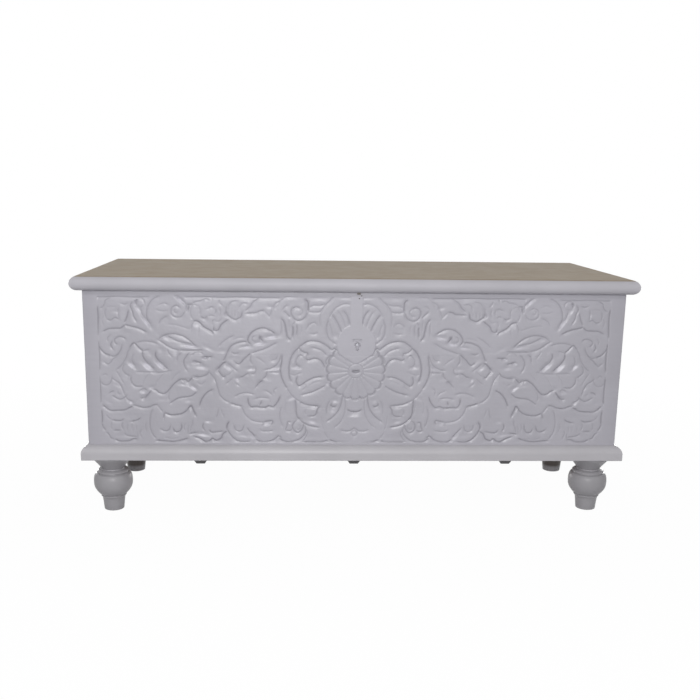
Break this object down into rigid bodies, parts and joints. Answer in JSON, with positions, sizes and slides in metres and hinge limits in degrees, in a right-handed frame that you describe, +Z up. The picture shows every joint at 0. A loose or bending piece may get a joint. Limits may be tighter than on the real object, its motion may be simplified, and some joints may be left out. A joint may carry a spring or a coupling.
{
  "type": "trunk",
  "caption": "Wooden trunk with a hinged lid, a carved arabesque front, a lock with a keyhole and four turned feet, painted silver grey.",
  "frame": {"origin": "On the floor, at the middle of the lid's width and depth.", "axes": "+X runs to the right along the front, +Y runs from the front to the back and +Z is up."},
  "size_m": [1.1, 0.43, 0.483],
  "materials": {
    "lid_paint": "satin taupe paint over wood",
    "front_paint": "satin lilac-grey paint over carved wood",
    "side_paint": "satin silver-grey paint over wood",
    "bare_wood": "unpainted, waxed",
    "iron": "dark, worn"
  },
  "bodies": {
    "carcass": {"back_leaves": "iron", "back_plank_lower": "bare_wood", "back_plank_upper": "bare_wood", "base_batten_left": "bare_wood", "base_batten_middle": "bare_wood", "base_batten_right": "bare_wood", "base_moulding_front": "side_paint", "base_moulding_left": "side_paint", "base_moulding_right": "side_paint", "bottom_board_back": "bare_wood", "bottom_board_front": "bare_wood", "bottom_board_middle": "bare_wood", "end_plank_left_lower": "side_paint", "end_plank_left_upper": "side_paint", "end_plank_right_lower": "side_paint", "end_plank_right_upper": "side_paint", "feet_front": "side_paint", "feet_rear": "side_paint", "foot_blocks_front": "bare_wood", "foot_blocks_rear": "bare_wood", "front_plank_lower": "front_paint", "front_plank_middle": "front_paint", "front_plank_upper": "front_paint", "hinge_pin_left": "iron", "hinge_pin_right": "iron", "lock_case": "iron", "lock_guides": "iron", "lock_key_post": "iron", "lock_plate": "iron", "lock_spring": "iron"},
    "lid": {"hasp_lug": "iron", "lid_batten_left": "bare_wood", "lid_batten_right": "bare_wood", "lid_leaves": "iron", "lid_plank_back": "lid_paint", "lid_plank_front": "lid_paint", "lid_plank_middle": "lid_paint"},
    "bolt": {"lock_bolt": "iron"}
  },
  "joints": [
    {"name": "lid_hinge", "type": "hinge", "parent": "carcass", "child": "lid", "pos_m": [0, 0.1995, 0.4545], "axis": [-1, 0, 0], "range_deg": [0, 105]},
    {"name": "bolt_slide", "type": "slide", "parent": "carcass", "child": "bolt", "axis": [-1, 0, 0], "range_m": [0, 0.024]}
  ]
}
